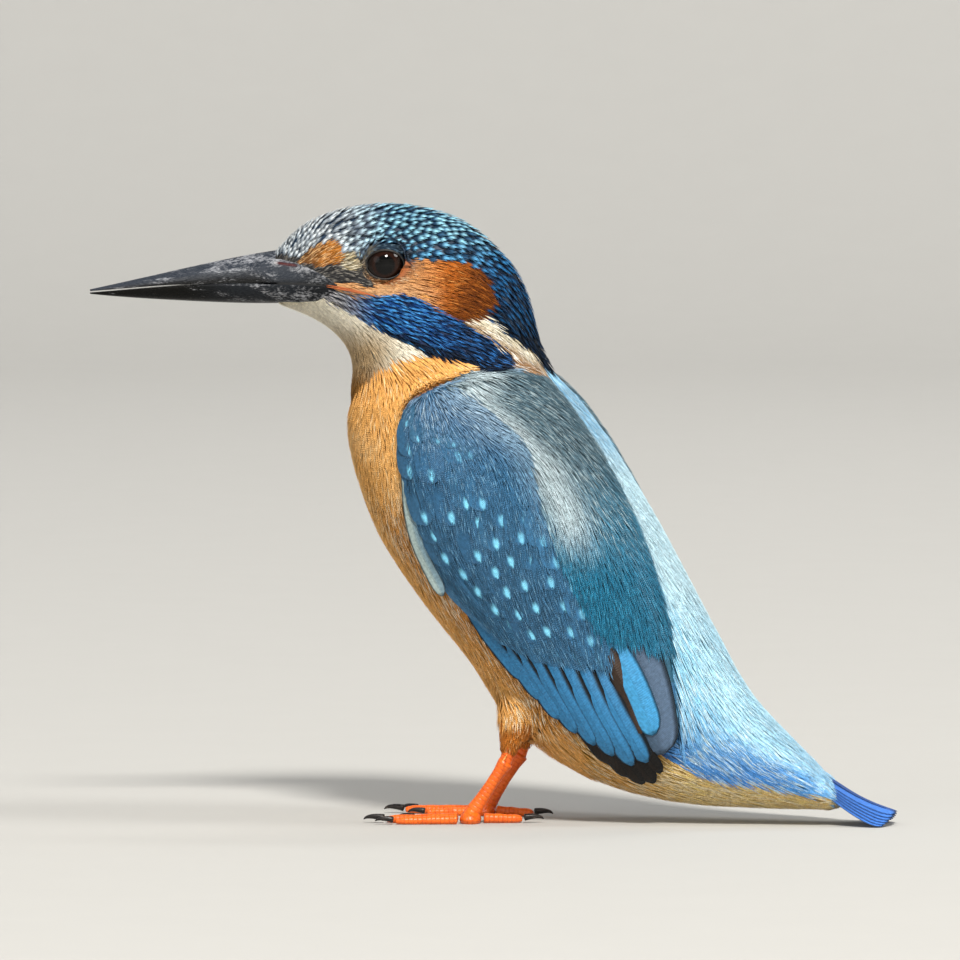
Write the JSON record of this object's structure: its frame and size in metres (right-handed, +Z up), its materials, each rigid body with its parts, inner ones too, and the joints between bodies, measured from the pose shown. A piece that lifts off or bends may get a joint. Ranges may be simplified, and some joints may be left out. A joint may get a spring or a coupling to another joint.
{
  "type": "kingfisher",
  "caption": "Life-size standing kingfisher model with folded wings, long dagger bill, short tail and small red feet flat on the floor.",
  "frame": {"origin": "middle of the bounding box at floor level, under the belly", "axes": "+Z up, -Y the way the bird faces, +X the bird's left side"},
  "size_m": [0.0412, 0.1344, 0.1031],
  "materials": {
    "plumage_blue": "glossy structural blue feathers",
    "plumage_teal": "satin teal feathers",
    "plumage_azure": "silky azure feathers",
    "plumage_cobalt": "satin cobalt feathers",
    "plumage_orange": "soft orange feathers",
    "plumage_brown": "matte dark brown feathers",
    "bill_horn": "black horn, satin",
    "eye": "wet dark brown eye",
    "leg_skin": "scaly orange-red skin",
    "claw_horn": "dark brown horn, glossy"
  },
  "bodies": {
    "root": {"head": "plumage_blue", "neck": "plumage_orange", "trunk": "plumage_orange", "rump": "plumage_azure", "tail": "plumage_cobalt", "bill_upper": "bill_horn", "bill_lower": "bill_horn", "eye_left": "eye", "wing_left": "plumage_teal", "primaries_left": "plumage_brown", "thigh_left": "plumage_orange", "leg_left": "leg_skin", "toe_inner_left": "leg_skin", "claw_inner_left": "claw_horn", "toe_middle_left": "leg_skin", "claw_middle_left": "claw_horn", "toe_outer_left": "leg_skin", "claw_outer_left": "claw_horn", "toe_hind_left": "leg_skin", "claw_hind_left": "claw_horn", "eye_right": "eye", "wing_right": "plumage_teal", "primaries_right": "plumage_brown", "thigh_right": "plumage_orange", "leg_right": "leg_skin", "toe_inner_right": "leg_skin", "claw_inner_right": "claw_horn", "toe_middle_right": "leg_skin", "claw_middle_right": "claw_horn", "toe_outer_right": "leg_skin", "claw_outer_right": "claw_horn", "toe_hind_right": "leg_skin", "claw_hind_right": "claw_horn"}
  },
  "joints": []
}
